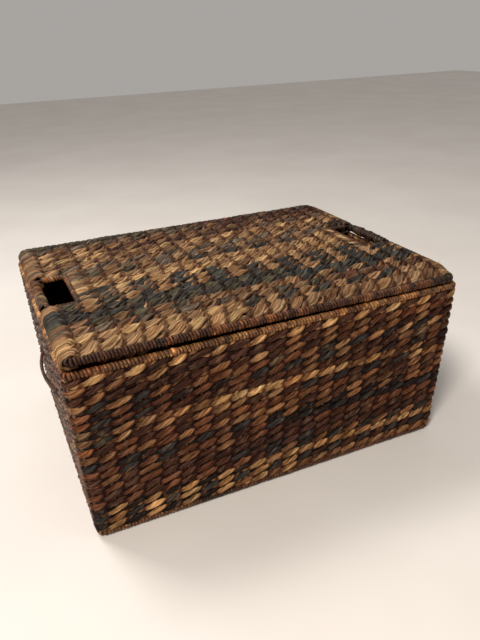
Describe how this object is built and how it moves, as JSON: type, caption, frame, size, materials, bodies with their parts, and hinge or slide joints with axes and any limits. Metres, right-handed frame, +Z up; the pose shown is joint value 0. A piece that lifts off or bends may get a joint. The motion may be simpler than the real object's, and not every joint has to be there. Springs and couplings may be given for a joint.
{
  "type": "lidded basket",
  "caption": "Rectangular woven storage basket on a rod frame, with a lift-off woven lid that has a hand hole at each end, and a bow handle on each end wall.",
  "frame": {"origin": "on the floor, under the middle of the basket", "axes": "+X to the right along the long side, -Y out of the front, +Z up"},
  "size_m": [0.6262, 0.457, 0.3005],
  "materials": {
    "frame_rod": "dark drawn rod, matt",
    "cane": "split cane, dull satin",
    "weave_brown": "flat dried leaf strands, twined, satin",
    "weave_lid": "flat dried leaf strands, twined, sun-faded",
    "binding_tan": "thin leaf strand coiled tightly round a rod",
    "binding_dark": "thin leaf strand coiled tightly round a rod",
    "binding_slate": "broad leaf strand wrapped round a rod"
  },
  "bodies": {
    "basket": {"bottom_frame": "frame_rod", "bottom_binding": "binding_tan", "rim_frame": "frame_rod", "rim_binding": "binding_tan", "corner_post_front_left": "cane", "corner_post_front_right": "cane", "corner_post_back_left": "cane", "corner_post_back_right": "cane", "front_stakes": "cane", "back_stakes": "cane", "left_stakes": "cane", "right_stakes": "cane", "base_ribs": "cane", "front_weave": "weave_brown", "back_weave": "weave_brown", "left_weave": "weave_brown", "right_weave": "weave_brown", "base_weave": "weave_brown", "left_handle": "cane", "right_handle": "cane", "left_handle_lashings": "binding_dark", "right_handle_lashings": "binding_dark"},
    "lid": {"lid_frame": "frame_rod", "lid_ribs": "cane", "lid_front_binding": "binding_dark", "lid_back_binding": "binding_slate", "lid_left_edge": "weave_lid", "lid_right_edge": "weave_lid", "lid_left_grip": "binding_dark", "lid_right_grip": "binding_dark", "lid_left_hole_frame": "frame_rod", "lid_right_hole_frame": "frame_rod", "lid_left_hole_binding": "weave_lid", "lid_right_hole_binding": "weave_lid", "lid_weave_middle": "weave_lid", "lid_weave_front_left": "weave_lid", "lid_weave_back_left": "weave_lid", "lid_weave_front_right": "weave_lid", "lid_weave_back_right": "weave_lid"}
  },
  "joints": [
    {"name": "lid_lift", "type": "slide", "parent": "basket", "child": "lid", "axis": [0, 0, 1], "range_m": [0, 0.3]}
  ]
}
